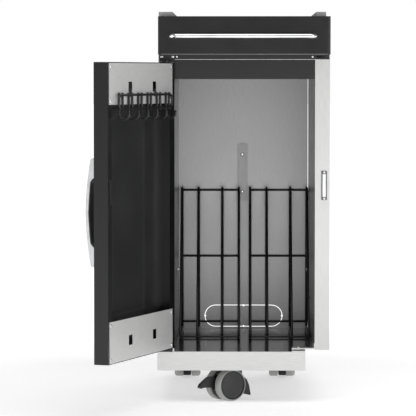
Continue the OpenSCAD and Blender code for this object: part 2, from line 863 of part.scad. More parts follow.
// tyre of one wheel
module caster_tyre(s) {
    translate([trail, 0, wheel_d / 2]) mirror([0, s < 0 ? 1 : 0, 0])
        translate([0, fork_w / 2 + wheel_gap, 0]) rotate([-90, 0, 0]) rotate_extrude($fn = 96)
            polygon([[rim_r, 0], [wheel_d / 2 - 2, 0], [wheel_d / 2, 2], [wheel_d / 2, wheel_w - 5],
                     [wheel_d / 2 - 3, wheel_w - 1], [rim_r + 1.5, wheel_w], [rim_r, wheel_w - 1.5]]);
}

// brake pedal: a lever on a cross pin that reaches out past the wheels
module front_pedal() {
    t = 11.6;
    color([0.15, 0.15, 0.15]) at_caster(caster_at[0]) difference() {
        translate([trail, t / 2, wheel_d / 2]) rotate([90, 0, 0]) linear_extrude(t)
            polygon([[17, -3], [30, -6], [45, -5], [60, -4], [72, -6], [75, -3], [71, 4], [61, 11.5], [51, 19],
                     [40, 21], [28, 18], [18, 12]]);
        pedal_pin(pedal_pin_r + 0.05);
    }
}

module front_pedal_pin() {
    color("silver") at_caster(caster_at[0]) pedal_pin(pedal_pin_r);
}

module hood_of(i) {
    color([0.1, 0.1, 0.1]) at_caster(caster_at[i]) caster_hood(i == 0);
}

module axle_of(i) {
    color("silver") at_caster(caster_at[i]) caster_axle();
}

module hub_of(i, s) {
    color([0.3, 0.3, 0.3]) at_caster(caster_at[i]) caster_hub(s);
}

module tyre_of(i, s) {
    color([0.66, 0.67, 0.66]) at_caster(caster_at[i]) caster_tyre(s);
}

base_frame();
caster_rails();
floor_pan();
left_side_panel();
right_side_panel();
left_liner();
right_liner();
back_panel();
header_rail();
top_front_rail();
top_rear_rail();
left_worktop_rail();
right_worktop_rail();
hinge_brackets();
hinge_pins();
catch_housing();
catch_magnet();
hanger_channel();
rack_pegs();
drawer_slides();
corner_plate();
cabinet_screws();
caster_plates();
caster_bolts();
door_shell();
door_top_plate();
door_bottom_plate();
door_bushes();
handle_base();
handle_lining();
handle_bow();
door_strike();
door_screws();
utensil_rack();
drawer_front();
drawer_box();
drawer_bar();
drawer_runners();
left_grate_rack();
right_grate_rack();
hood_of(0);  // front_hood
axle_of(0);  // front_axle
hub_of(0, 1);  // front_hub_a
hub_of(0, -1);  // front_hub_b
tyre_of(0, 1);  // front_tyre_a
tyre_of(0, -1);  // front_tyre_b
front_pedal();
front_pedal_pin();
hood_of(1);  // left_hood
axle_of(1);  // left_axle
hub_of(1, 1);  // left_hub_a
hub_of(1, -1);  // left_hub_b
tyre_of(1, 1);  // left_tyre_a
tyre_of(1, -1);  // left_tyre_b
hood_of(2);  // right_hood
axle_of(2);  // right_axle
hub_of(2, 1);  // right_hub_a
hub_of(2, -1);  // right_hub_b
tyre_of(2, 1);  // right_tyre_a
tyre_of(2, -1);  // right_tyre_b
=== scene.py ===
import json
import math

import bmesh
import bpy
from mathutils import Matrix, Vector


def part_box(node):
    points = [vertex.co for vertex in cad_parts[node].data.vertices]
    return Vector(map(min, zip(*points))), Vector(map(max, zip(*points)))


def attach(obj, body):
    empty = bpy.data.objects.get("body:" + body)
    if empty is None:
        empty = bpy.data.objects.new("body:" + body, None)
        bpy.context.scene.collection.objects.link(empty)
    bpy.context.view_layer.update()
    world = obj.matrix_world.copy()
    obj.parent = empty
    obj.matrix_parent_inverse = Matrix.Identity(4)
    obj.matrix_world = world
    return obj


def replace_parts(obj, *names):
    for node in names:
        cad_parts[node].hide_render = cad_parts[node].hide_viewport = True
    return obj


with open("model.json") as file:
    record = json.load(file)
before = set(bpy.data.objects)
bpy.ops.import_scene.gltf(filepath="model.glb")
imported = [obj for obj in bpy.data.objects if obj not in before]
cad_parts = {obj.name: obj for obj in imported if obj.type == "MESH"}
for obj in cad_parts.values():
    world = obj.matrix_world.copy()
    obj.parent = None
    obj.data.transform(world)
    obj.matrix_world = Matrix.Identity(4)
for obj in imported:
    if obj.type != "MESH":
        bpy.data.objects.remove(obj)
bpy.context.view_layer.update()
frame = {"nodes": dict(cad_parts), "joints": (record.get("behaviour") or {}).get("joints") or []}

NODES = frame["nodes"]
JOINTS = {j["name"]: j for j in frame["joints"]}
MM = 0.001


# ---------------------------------------------------------------- places taken from the frame

def turned_about(point, angle):
    return Matrix.Translation(point) @ Matrix.Rotation(angle, 4, "Z") @ Matrix.Translation(-point)


def local_box(node, matrix):
    """Lowest and highest corner of a CAD node in the space that matrix carries to the rest pose."""
    back = matrix.inverted()
    points = [back @ v.co for v in NODES[node].data.vertices]
    low = Vector(min(p[i] for p in points) for i in range(3))
    high = Vector(max(p[i] for p in points) for i in range(3))
    return low, high


# DOOR carries the closed door to its rest pose, where it stands open
PIVOT = Vector(JOINTS["door_hinge"]["pos_m"])
DOOR = turned_about(PIVOT, -math.radians(JOINTS["door_hinge"]["range_deg"][1]))


def caster_space(name):
    """Space of one caster: the stem on the Z axis, the axle out along +X, the wheels along +-Y."""
    stem = Vector(JOINTS[name + "_swivel_turn"]["pos_m"])
    spin = JOINTS[name + "_wheel_a_spin"]
    centre = Vector(spin["pos_m"])
    ey = Vector(spin["axis"]).normalized()
    ex = ey.cross(Vector((0, 0, 1)))
    matrix = Matrix.Identity(4)
    for i, axis in enumerate((ex, ey, Vector((0, 0, 1)))):
        for k in range(3):
            matrix[k][i] = axis[k]
    matrix.translation = Vector((stem.x, stem.y, 0))
    trail = (centre - stem).to_2d().length
    return matrix, trail, centre.z


# ---------------------------------------------------------------- mesh building

def finish_mesh(name, bm, material, body, smooth=True, matrix=None, angle=35):
    """Turns a bmesh into a piece that rides on a body and takes a material."""
    if matrix is not None:
        bmesh.ops.transform(bm, matrix=matrix, verts=bm.verts)
    bmesh.ops.recalc_face_normals(bm, faces=bm.faces)
    mesh = bpy.data.meshes.new(name)
    bm.to_mesh(mesh)
    bm.free()
    piece = bpy.data.objects.new(name, mesh)
    bpy.context.scene.collection.objects.link(piece)
    mesh.materials.append(material)
    if smooth:
        mesh.polygons.foreach_set("use_smooth", [True] * len(mesh.polygons))
        mesh.set_sharp_from_angle(angle=math.radians(angle))
    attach(piece, body)
    return piece


def bevelled(piece, width, segments=2, angle=40):
    bevel = piece.modifiers.new("edge", "BEVEL")
    bevel.width = width
    bevel.segments = segments
    bevel.limit_method = "ANGLE"
    bevel.angle_limit = math.radians(angle)
    bevel.harden_normals = True
    return piece


def rounded_path(points, radius, steps=6):
    """The points of a path with each inner corner rounded to a radius."""
    points = [Vector(p) for p in points]
    out = [points[0]]
    for a, b, c in zip(points, points[1:], points[2:]):
        u, v = (a - b).normalized(), (c - b).normalized()
        half = u.angle(v) / 2
        cut = radius / math.tan(half)
        mid = b + (u + v).normalized() * (radius / math.sin(half))
        start = b + u * cut
        outward = (start - mid).normalized()
        onward = (-u).normalized()
        turn = math.pi - 2 * half
        for i in range(steps + 1):
            t = turn * i / steps
            out.append(mid + (outward * math.cos(t) + onward * math.sin(t)) * radius)
    out.append(points[-1])
    return out


# dome over a tube's open end: ring radius and distance from the end, as shares of the tube's radius
DOME = ((0.6, 0.0), (0.9, 0.25), (1.0, 0.55))


def add_tube(bm, path, radius, sides=14, closed=False):
    """Sweeps a round section along a path. Open ends are closed with a small dome."""
    n = len(path)
    rings = []
    normal = None

    def ring(centre, tangent, r):
        nonlocal normal
        if normal is None:
            helper = Vector((0, 0, 1)) if abs(tangent.z) < 0.9 else Vector((1, 0, 0))
            normal = tangent.cross(helper).normalized()
        normal = (normal - tangent * normal.dot(tangent)).normalized()
        binormal = tangent.cross(normal)
        return [bm.verts.new(centre + (normal * math.cos(a) + binormal * math.sin(a)) * r)
                for a in (2 * math.pi * k / sides for k in range(sides))]

    for i, p in enumerate(path):
        before = path[i - 1] if i or closed else p
        after = path[(i + 1) % n] if i < n - 1 or closed else p
        tangent = (after - before).normalized()
        if not closed and i == 0:
            rings += [ring(p + tangent * radius * inward, tangent, radius * share) for share, inward in DOME]
        elif not closed and i == n - 1:
            rings += [ring(p - tangent * radius * inward, tangent, radius * share)
                      for share, inward in reversed(DOME)]
        else:
            rings.append(ring(p, tangent, radius))
    pairs = list(zip(rings, rings[1:])) + ([(rings[-1], rings[0])] if closed else [])
    for a, b in pairs:
        for k in range(sides):
            j = (k + 1) % sides
            bm.faces.new((a[k], a[j], b[j], b[k]))
    if not closed:
        bm.faces.new(rings[0])
        bm.faces.new(rings[-1])


def add_lathe(bm, profile, matrix, segments=48, shape=None):
    """Revolves (radius, height) points about Z, then places them. shape(r, i, angle) may bend a ring."""
    rings = []
    for i, (r, h) in enumerate(profile):
        if r <= 1e-7:
            rings.append([bm.verts.new(matrix @ Vector((0, 0, h)))])
            continue
        ring = []
        for k in range(segments):
            a = 2 * math.pi * k / segments
            bent = shape(r, i, a) if shape else r
            ring.append(bm.verts.new(matrix @ Vector((bent * math.cos(a), bent * math.sin(a), h))))
        rings.append(ring)
    for a, b in zip(rings, rings[1:]):
        for k in range(segments):
            j = (k + 1) % segments
            if len(a) == 1 and len(b) == 1:
                break
            if len(a) == 1:
                bm.faces.new((a[0], b[j], b[k]))
            elif len(b) == 1:
                bm.faces.new((a[k], a[j], b[0]))
            else:
                bm.faces.new((a[k], a[j], b[j], b[k]))
    for end in (rings[0], rings[-1]):
        if len(end) > 2:
            bm.faces.new(end)


def add_ring(bm, profile, matrix, segments):
    """Revolves a closed profile into a ring."""
    rings = []
    for r, h in profile:
        rings.append([bm.verts.new(matrix @ Vector((r * math.cos(a), r * math.sin(a), h)))
                      for a in (2 * math.pi * k / segments for k in range(segments))])
    for a, b in zip(rings, rings[1:] + rings[:1]):
        for k in range(segments):
            j = (k + 1) % segments
            bm.faces.new((a[k], a[j], b[j], b[k]))


def add_outline(bm, outline, low, high, matrix=None):
    """Extrudes an outline of (x, z) points from y = low to y = high."""
    front = [bm.verts.new((x, low, z)) for x, z in outline]
    back = [bm.verts.new((x, high, z)) for x, z in outline]
    n = len(outline)
    bm.faces.new(front)
    bm.faces.new(list(reversed(back)))
    for k in range(n):
        j = (k + 1) % n
        bm.faces.new((front[j], front[k], back[k], back[j]))
    if matrix is not None:
        bmesh.ops.transform(bm, matrix=matrix, verts=front + back)


def z_to(direction):
    """Rotation that turns +Z to a direction."""
    return Vector((0, 0, 1)).rotation_difference(Vector(direction)).to_matrix().to_4x4()


def add_screw(bm, at, direction, radius, height, matrix=None):
    """A button-head screw with a hexagon socket, its head standing on a face."""
    socket = radius * 0.42
    profile = [(radius * 0.97, 0.0), (radius, height * 0.16), (radius * 0.93, height * 0.5),
               (radius * 0.72, height * 0.86), (radius * 0.52, height), (socket, height * 0.97),
               (socket * 0.97, height * 0.35), (0.0, height * 0.3)]

    def hexagon(r, i, a):
        if i in (5, 6):
            return r * math.cos(math.pi / 6) / math.cos((a + math.pi / 6) % (math.pi / 3) - math.pi / 6)
        return r

    place = Matrix.Translation(Vector(at)) @ z_to(direction)
    if matrix is not None:
        place = matrix @ place
    add_lathe(bm, profile, place, 24, hexagon)


# ---------------------------------------------------------------- materials

def new_material(name, base, roughness, metallic=0.0, **inputs):
    material = bpy.data.materials.new(name)
    material.use_nodes = True
    tree = material.node_tree
    shader = tree.nodes["Principled BSDF"]
    shader.inputs["Base Color"].default_value = (*base, 1)
    shader.inputs["Roughness"].default_value = roughness
    shader.inputs["Metallic"].default_value = metallic
    for key, value in inputs.items():
        shader.inputs[key.replace("_", " ")].default_value = value
    return material, tree, shader


def noise(tree, scale, stretch=(1, 1, 1), turn=0.0, detail=4.0):
    """Noise in object space, stretched along axes; turn is a rotation about Z."""
    place = tree.nodes.new("ShaderNodeTexCoord")
    mapping = tree.nodes.new("ShaderNodeMapping")
    mapping.vector_type = "TEXTURE"
    mapping.inputs["Rotation"].default_value = (0, 0, turn)
    mapping.inputs["Scale"].default_value = stretch
    texture = tree.nodes.new("ShaderNodeTexNoise")
    texture.inputs["Scale"].default_value = scale
    texture.inputs["Detail"].default_value = detail
    texture.inputs["Roughness"].default_value = 0.55
    tree.links.new(place.outputs["Object"], mapping.inputs["Vector"])
    tree.links.new(mapping.outputs["Vector"], texture.inputs["Vector"])
    return texture.outputs["Fac"]


def ramp(tree, value, low, high, a=0.3, b=0.7):
    """Maps a value to a range of numbers."""
    node = tree.nodes.new("ShaderNodeMapRange")
    node.inputs["From Min"].default_value = a
    node.inputs["From Max"].default_value = b
    node.inputs["To Min"].default_value = low
    node.inputs["To Max"].default_value = high
    tree.links.new(value, node.inputs["Value"])
    return node.outputs["Result"]


def tint(tree, value, dark, light, a=0.3, b=0.7):
    """Blends two colours by a value."""
    node = tree.nodes.new("ShaderNodeValToRGB")
    node.color_ramp.elements[0].position = a
    node.color_ramp.elements[0].color = (*dark, 1)
    node.color_ramp.elements[1].position = b
    node.color_ramp.elements[1].color = (*light, 1)
    tree.links.new(value, node.inputs["Fac"])
    return node.outputs["Color"]


def bump(tree, shader, value, strength, distance):
    node = tree.nodes.new("ShaderNodeBump")
    node.inputs["Strength"].default_value = strength
    node.inputs["Distance"].default_value = distance
    tree.links.new(value, node.inputs["Height"])
    tree.links.new(node.outputs["Normal"], shader.inputs["Normal"])


def shade(colour, amount):
    return tuple(min(1.0, c * amount) for c in colour)


def brushed_steel(name, base, low, high, stretch, turn=0.0, depth=0.00002, metallic=1.0):
    """Stainless sheet: fine grain along one axis, and a slow cloudiness in colour and gloss."""
    material, tree, shader = new_material(name, base, low, metallic)
    grain = noise(tree, 900, stretch, turn, 3)
    clouds = noise(tree, 5.0, (1, 1, 1), 0, 3)
    mix = tree.nodes.new("ShaderNodeMath")
    mix.operation = "MULTIPLY_ADD"
    mix.inputs[1].default_value = 0.35
    tree.links.new(clouds, mix.inputs[0])
    tree.links.new(grain, mix.inputs[2])
    tree.links.new(ramp(tree, mix.outputs[0], low, high, 0.45, 0.9), shader.inputs["Roughness"])
    tree.links.new(tint(tree, grain, shade(base, 0.9), shade(base, 1.06)), shader.inputs["Base Color"])
    bump(tree, shader, grain, 0.35, depth)
    return material


def gloss_paint(name, base, low, high, peel_depth=0.00003, **inputs):
    """Baked enamel: faint orange peel, dust in the gloss."""
    inputs.setdefault("Specular_IOR_Level", 0.45)
    material, tree, shader = new_material(name, base, low, **inputs)
    peel = noise(tree, 420, detail=2)
    dust = noise(tree, 9, detail=5)
    tree.links.new(ramp(tree, dust, low, high), shader.inputs["Roughness"])
    tree.links.new(tint(tree, dust, shade(base, 0.85), shade(base, 1.3)), shader.inputs["Base Color"])
    bump(tree, shader, peel, 0.06, peel_depth)
    return material


def grainy(name, base, roughness, grain_scale, depth, metallic=0.0, spread=0.15, strength=0.3):
    """Plastic, rubber or plating with a fine grain in bump, colour and gloss."""
    material, tree, shader = new_material(name, base, roughness, metallic)
    grain = noise(tree, grain_scale, detail=3)
    blotch = noise(tree, grain_scale / 30, detail=4)
    tree.links.new(ramp(tree, blotch, roughness * (1 - spread), min(1, roughness * (1 + spread))),
                   shader.inputs["Roughness"])
    tree.links.new(tint(tree, blotch, shade(base, 1 - spread), shade(base, 1 + spread)),
                   shader.inputs["Base Color"])
    bump(tree, shader, grain, strength, depth)
    return material


def make_materials():
    steel = (0.60, 0.60, 0.595)
    along_x, along_y, along_z = (30, 1, 1), (1, 30, 1), (1, 1, 30)
    door_turn = -math.radians(JOINTS["door_hinge"]["range_deg"][1])
    return {
        "wall_steel": brushed_steel("stainless_upright", steel, 0.28, 0.42, along_z),
        "liner_steel": brushed_steel("stainless_liners", (0.4, 0.4, 0.4), 0.24, 0.36, along_z, depth=0.000006),
        "back_steel": brushed_steel("stainless_back", (0.33, 0.33, 0.33), 0.27, 0.36, along_z, depth=0.000004),
        "channel_steel": brushed_steel("stainless_channel", (0.3, 0.3, 0.3), 0.3, 0.4, along_z, depth=0.000004),
        "floor_steel": brushed_steel("stainless_floor", (0.5, 0.5, 0.5), 0.1, 0.17, along_y),
        "skirt_steel": brushed_steel("stainless_skirt", (0.72, 0.72, 0.715), 0.36, 0.5, along_x),
        "door_steel": brushed_steel("stainless_door_plates", (0.68, 0.68, 0.675), 0.4, 0.55, along_x, door_turn,
                                    metallic=0.55),
        "door_skin": gloss_paint("door_inner_enamel", (0.03, 0.0303, 0.031), 0.12, 0.17, 0.000004,
                                 Specular_IOR_Level=1.0, Coat_Weight=1.0, Coat_Roughness=0.08),
        "black_paint": gloss_paint("black_enamel", (0.006, 0.0061, 0.0063), 0.2, 0.28),
        "rail_paint": gloss_paint("black_enamel_rails", (0.01, 0.01, 0.0105), 0.26, 0.36),
        "bare_edge": grainy("bare_folded_edge", (0.6, 0.6, 0.6), 0.4, 900, 0.00001, 1.0, 0.12),
        # grey for the drawer front's bottom edge: a painted highlight
        "drawer_edge_highlight": grainy("drawer_edge_painted_highlight", (0.3, 0.3, 0.3), 0.5, 900, 0.00001, 1.0, 0.12),
        "zinc": grainy("zinc_plate", (0.45, 0.45, 0.45), 0.42, 350, 0.00003, 1.0, 0.2),
        "tab_zinc": grainy("zinc_rail", (0.42, 0.42, 0.42), 0.5, 350, 0.00003, 1.0, 0.12),
        "screw": grainy("bright_screw", (0.72, 0.72, 0.71), 0.24, 900, 0.00001, 1.0, 0.25),
        "magnet": grainy("magnet_face", (0.75, 0.75, 0.75), 0.3, 700, 0.00002, 1.0, 0.2),
        "grey_plastic": grainy("catch_plastic", (0.16, 0.165, 0.17), 0.5, 1200, 0.00003),
        "black_plastic": grainy("black_nylon", (0.012, 0.012, 0.012), 0.45, 1200, 0.00004),
        "lining": grainy("handle_lining_plastic", (0.016, 0.016, 0.017), 0.4, 1100, 0.00003),
        "escutcheon": grainy("handle_base_plastic", (0.05, 0.051, 0.053), 0.42, 1100, 0.00003),
        "handle_silver": grainy("handle_satin_silver", (0.74, 0.745, 0.755), 0.36, 1500, 0.00001, 0.75, 0.1, 0.15),
        "coated_wire": grainy("coated_wire", (0.011, 0.011, 0.0115), 0.3, 700, 0.00005),
        "chrome": grainy("polished_bar", (0.86, 0.86, 0.87), 0.09, 600, 0.000004, 1.0, 0.3, 0.1),
        "hub": grainy("hub_plastic", (0.02, 0.0205, 0.0215), 0.42, 1300, 0.00003),
        "tyre": grainy("grey_tyre", (0.36, 0.365, 0.355), 0.62, 900, 0.00006, 0.0, 0.1),
    }


MAT = make_materials()


# ---------------------------------------------------------------- CAD nodes that stay

def dress(nodes, material, bevel=0.0004, smooth=False):
    """Gives CAD nodes a material and softly rounded edges."""
    for name in nodes:
        node = NODES[name]
        node.data.materials.clear()
        node.data.materials.append(MAT[material])
        if smooth:
            node.data.polygons.foreach_set("use_smooth", [True] * len(node.data.polygons))
            node.data.set_sharp_from_angle(angle=math.radians(30))
        if bevel:
            bevelled(node, bevel)


dress(["left_side_panel", "right_side_panel"], "wall_steel", 0.0006)
dress(["left_liner", "right_liner"], "liner_steel", 0.0006)
dress(["back_panel"], "back_steel", 0.0002)
dress(["hanger_channel"], "channel_steel", 0.0002)
dress(["floor_pan"], "floor_steel")
dress(["base_frame"], "skirt_steel", 0.0006)
dress(["corner_plate"], "skirt_steel", 0.0003)
dress(["header_rail", "top_front_rail", "hinge_brackets"], "rail_paint", 0.0005)
dress(["left_worktop_rail", "right_worktop_rail"], "tab_zinc", 0.0006)
dress(["top_rear_rail", "caster_rails", "drawer_slides", "caster_plates", "drawer_box", "drawer_runners"],
      "zinc", 0.0003)
dress(["door_strike"], "rail_paint", 0.0003)
dress(["door_shell", "drawer_front"], "black_paint", 0.0012)
dress(["door_top_plate", "door_bottom_plate"], "door_steel", 0.0003)
dress(["catch_housing"], "grey_plastic", 0.0007)
dress(["catch_magnet"], "magnet", 0.0004)
dress(["hinge_pins", "caster_bolts", "rack_pegs"], "screw", 0.0003)
dress(["door_bushes"], "black_plastic", 0.0003)
dress(["handle_base"], "escutcheon", 0.0012, smooth=True)
dress(["front_axle", "left_axle", "right_axle", "front_pedal_pin"], "screw", 0.0003)


def skin_faces():
    """The door's inner skin, deep inside its lips, has a finish of its own."""
    shell = NODES["door_shell"]
    shell.data.materials.append(MAT["door_skin"])
    lip = 10 * MM
    high = local_box("door_shell", DOOR)[1]
    back = DOOR.inverted()
    for face in shell.data.polygons:
        centre, normal = back @ face.center, back.to_3x3() @ face.normal
        if normal.y > 0.9 and centre.y < high.y - lip:
            face.material_index = 1


skin_faces()


# ---------------------------------------------------------------- wires

# gap between wires that are welded in the real racks
WELD = 0.05 * MM


def grate_rack(node):
    """One welded rack: four bent dividers, three cross wires behind them and one in front of their bends."""
    dividers = (3, 44, 103, 144)
    top_run = 33 * MM
    low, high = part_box(node)
    side = 1 if high.x > -low.x else -1
    wire, cross, bend = 3 * MM, 2.5 * MM, 8 * MM
    edge = high.x if side > 0 else low.x
    columns = [edge - side * d * MM for d in dividers]
    floor = low.z + wire
    top = high.z - wire
    front = low.y - 0.85 * MM
    rear = high.y - 2 * cross - wire - WELD
    bm = bmesh.new()
    for x in columns:
        path = [(x, rear, floor + 2 * MM), (x, rear, top), (x, rear - top_run, top), (x, front, floor),
                (x, rear - 2 * wire, floor)]
        add_tube(bm, rounded_path(path, bend), wire)
    touch = wire + cross
    ends = (columns[0] + side * 2 * MM, columns[3])
    for y, z in [(rear + touch, floor + 14 * MM), (rear + touch, floor + 178.5 * MM),
                 (rear + touch, top - 6 * MM), (low.y + cross, floor)]:
        add_tube(bm, [Vector((ends[0], y, z)), Vector((ends[1], y, z))], cross)
    piece = finish_mesh(node + "_wire", bm, MAT["coated_wire"], node)
    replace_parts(piece, node)


grate_rack("left_grate_rack")
grate_rack("right_grate_rack")


def utensil_rack():
    """Rails, hooks and hangers on the inside of the door, built in the closed door's space."""
    low, high = local_box("utensil_rack", DOOR)
    plate = local_box("door_top_plate", DOOR)[1].y
    r = 2.5 * MM
    rail_y = plate + 8 * MM
    behind = rail_y - 2 * r - WELD
    half = high.x - r
    top = high.z - 12.4 * MM
    lower = top - 29.5 * MM
    hooks, pitch, shift = 6, 55 * MM, -5 * MM
    # a hook hangs drop below the lower rail and reaches out; a straight wire stands on its other side
    drop, reach, apart = 23.5 * MM, 23 * MM, 10 * MM
    bm = bmesh.new()
    loop = rounded_path([(0, rail_y, top), (half, rail_y, top), (half, rail_y, lower),
                         (-half, rail_y, lower), (-half, rail_y, top), (-1e-5, rail_y, top)], 13 * MM)
    add_tube(bm, loop[:-1], r, closed=True)
    for i in range(hooks):
        x = (i - (hooks - 1) / 2) * pitch + shift
        hook = [(x + apart, behind, top + 2 * r), (x + apart, behind, lower - drop),
                (x + apart, behind + reach, lower - drop), (x + apart, behind + reach, lower - 6 * MM)]
        add_tube(bm, rounded_path(hook, reach / 2 - 0.2 * MM, 8), r)
        add_tube(bm, [Vector((x - apart, behind, top + 2 * r)), Vector((x - apart, behind, lower - 2 * r))], r)
    for x in (-68 * MM, 77 * MM):
        hanger = [(x, behind, top - 4 * MM), (x, behind, high.z - r), (x, low.y + r, high.z - r),
                  (x, low.y + r, high.z - r - 11.9 * MM)]
        add_tube(bm, rounded_path(hanger, 3 * MM), r)
    piece = finish_mesh("utensil_rack_wire", bm, MAT["coated_wire"], "utensil_rack",
                        matrix=DOOR)
    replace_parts(piece, "utensil_rack")


utensil_rack()


def drawer_bar():
    """Polished bar with its ends bent back into the drawer front."""
    low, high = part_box("drawer_bar")
    r = (high.z - low.z) / 2
    z = (low.z + high.z) / 2
    ends = (low.x + r, high.x - r)
    y = low.y + r
    bm = bmesh.new()
    corners = [(ends[0], high.y, z), (ends[0], y, z), (ends[1], y, z), (ends[1], high.y, z)]
    path = rounded_path(corners, 14 * MM, 12)
    add_tube(bm, path, r, 32)
    piece = finish_mesh("drawer_bar_tube", bm, MAT["chrome"], "drawer")
    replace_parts(piece, "drawer_bar")
    # collars where the bar meets the drawer front
    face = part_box("drawer_front")[0].y
    bm = bmesh.new()
    for x in ends:
        add_lathe(bm, [(r + 0.1 * MM, 0), (r + 2.4 * MM, 0), (r + 2.4 * MM, 0.8 * MM),
                       (r + 1.6 * MM, 1.6 * MM), (r + 0.1 * MM, 1.6 * MM)],
                  Matrix.Translation((x, face, z)) @ z_to((0, -1, 0)), 32)
    finish_mesh("drawer_bar_collars", bm, MAT["black_plastic"], "drawer")


drawer_bar()


# ---------------------------------------------------------------- door handle

def smooth_half(points, radius):
    """One side of an arch, from its foot to its crown, with rounded corners. Points are (along, out) in mm."""
    path = rounded_path([(along * MM, out * MM, 0) for along, out in points], radius * MM)
    return [(p.x, p.y) for p in path]


def whole(half):
    """Both sides of an arch, from one foot to the other."""
    return half + [(-along, out) for along, out in reversed(half[:-1])]


def handle():
    """Arched grip with tapered ends and a soft lining along the inside of its opening. Outlines are in mm."""
    steps = 12
    low, high = local_box("handle_bow", DOOR)
    base = local_box("handle_base", DOOR)[0].y
    half = (high.z - low.z) / 2 / MM
    crown = (base - low.y) / MM - 1.5
    foot = crown - 12
    arch = [(half * (1 - t / steps), foot + (crown - foot) * math.sin(math.pi / 2 * t / steps))
            for t in range(steps + 1)]
    outer = smooth_half([(half, 0), (half - 1.5, foot)] + arch[2:], 5)
    gap = smooth_half([(80, 0), (74, 14.2), (66, 19.8), (40, 22.2), (0, 24.5)], 11)
    lined = smooth_half([(76.5, 0), (71, 12.4), (64.6, 17.2), (39.6, 19.5), (0, 21.8)], 9)
    middle = (low.z + high.z) / 2
    place = DOOR @ Matrix(((0, 1, 0, 0), (-1, 0, 0, base), (0, 0, 1, middle), (0, 0, 0, 1)))
    for name, edge, inside, material, slot, node, round_edge in (
            ("handle_bow_band", outer, gap, "handle_silver", "handle_silver", "handle_bow", 2.2 * MM),
            ("handle_lining_band", gap, lined, "lining", "black_plastic", "handle_lining", 0.5 * MM)):
        bm = bmesh.new()
        inset = 0 if node == "handle_bow" else 0.4 * MM
        outline = [(out, along) for along, out in whole(edge) + whole(inside)[::-1]]
        add_outline(bm, outline, low.x + inset, high.x - inset, place)
        piece = finish_mesh(name, bm, MAT[material], "door", angle=30)
        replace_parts(bevelled(piece, round_edge, 3), node)


handle()


# ---------------------------------------------------------------- small parts

def strip(name, low, high, material, body):
    """A thin strip along an edge: a folded edge of sheet on the header, a painted highlight on the drawer front.
    """
    bm = bmesh.new()
    corners = [(low[0], low[2]), (high[0], low[2]), (high[0], high[2]), (low[0], high[2])]
    add_outline(bm, corners, low[1], high[1])
    bevelled(finish_mesh(name, bm, MAT[material], body, smooth=False), 0.2 * MM)


def folded_edges():
    """A bare edge along the header, where the sheet is folded over, and a grey strip along the drawer front's
    bottom edge that is a painted highlight.
    """
    low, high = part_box("header_rail")
    strip("header_fold", (low.x, low.y - 0.3 * MM, high.z - 0.2 * MM),
          (high.x, low.y + 1 * MM, high.z + 1 * MM), "bare_edge", "cabinet")
    # the grey strip along the drawer front's bottom edge is a painted highlight
    low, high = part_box("drawer_front")
    strip("drawer_edge_highlight_strip", (low.x + 6 * MM, low.y - 0.05 * MM, low.z),
          (high.x - 6 * MM, low.y + 1 * MM, low.z + 1.2 * MM), "drawer_edge_highlight", "drawer")


folded_edges()


# ---------------------------------------------------------------- screws

def loose_solids(node):
    """Points of each separate solid of a CAD node."""
    bm = bmesh.new()
    bm.from_mesh(NODES[node].data)
    bmesh.ops.remove_doubles(bm, verts=bm.verts, dist=1e-6)
    seen, groups = set(), []
    for v in bm.verts:
        if v in seen:
            continue
        stack, group = [v], []
        seen.add(v)
        while stack:
            w = stack.pop()
            group.append(w.co.copy())
            for e in w.link_edges:
                o = e.other_vert(w)
                if o not in seen:
                    seen.add(o)
                    stack.append(o)
        groups.append(group)
    bm.free()
    return groups


def end_radius(points, mid, axis, value):
    """Radius of the points at one end of a screw head."""
    ring = [p for p in points if abs(p[axis] - value) < 0.1 * MM]
    return max((p - mid).length for p in ring) if ring else 0


def screws_from(node, name, body, matrix=None):
    """Draws a detailed screw over each solid of a CAD screw node, its wide end on the sheet."""
    back = matrix.inverted() if matrix is not None else Matrix.Identity(4)
    out = bmesh.new()
    for group in loose_solids(node):
        points = [back @ p for p in group]
        low = Vector(min(p[i] for p in points) for i in range(3))
        high = Vector(max(p[i] for p in points) for i in range(3))
        size = high - low
        axis = min(range(3), key=lambda i: size[i])
        mid = (low + high) / 2
        radius = max(size[(axis + 1) % 3], size[(axis + 2) % 3]) / 2
        at_low, at_high = (end_radius(points, mid, axis, end[axis]) for end in (low, high))
        sign = 1 if at_low > at_high else -1
        at = mid.copy()
        at[axis] = low[axis] if sign > 0 else high[axis]
        direction = Vector((0, 0, 0))
        direction[axis] = sign
        add_screw(out, at, direction, radius, size[axis], matrix)
    piece = finish_mesh(name, out, MAT["screw"], body)
    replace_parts(piece, node)


screws_from("cabinet_screws", "cabinet_screw_heads", "cabinet")
screws_from("door_screws", "door_screw_heads", "door", DOOR)


# ---------------------------------------------------------------- casters

TYRE_WIDTH = 22 * MM
TYRE_THICKNESS = 4.5 * MM
# distance from the caster's middle to each wheel's inner face
WHEEL_INSET = 10 * MM


def tyre(name, letter, wheel_r, place):
    """A soft rounded band over the rim."""
    rim = wheel_r - TYRE_THICKNESS
    profile = [(rim + 0.02 * MM, 0.4 * MM), (wheel_r - 2.6 * MM, 0.0), (wheel_r - 0.9 * MM, 0.9 * MM),
               (wheel_r, 2.6 * MM), (wheel_r, 15.5 * MM), (wheel_r - 0.5 * MM, 18 * MM),
               (wheel_r - 1.8 * MM, 20.2 * MM), (wheel_r - 3.4 * MM, 21.5 * MM),
               (rim + 1.2 * MM, TYRE_WIDTH - 0.1 * MM), (rim + 0.02 * MM, TYRE_WIDTH - 1 * MM)]
    bm = bmesh.new()
    add_ring(bm, profile, place, 96)
    piece = finish_mesh(f"{name}_tyre_{letter}_band", bm, MAT["tyre"], f"{name}_wheel_{letter}",
                        angle=50)
    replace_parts(piece, f"{name}_tyre_{letter}")


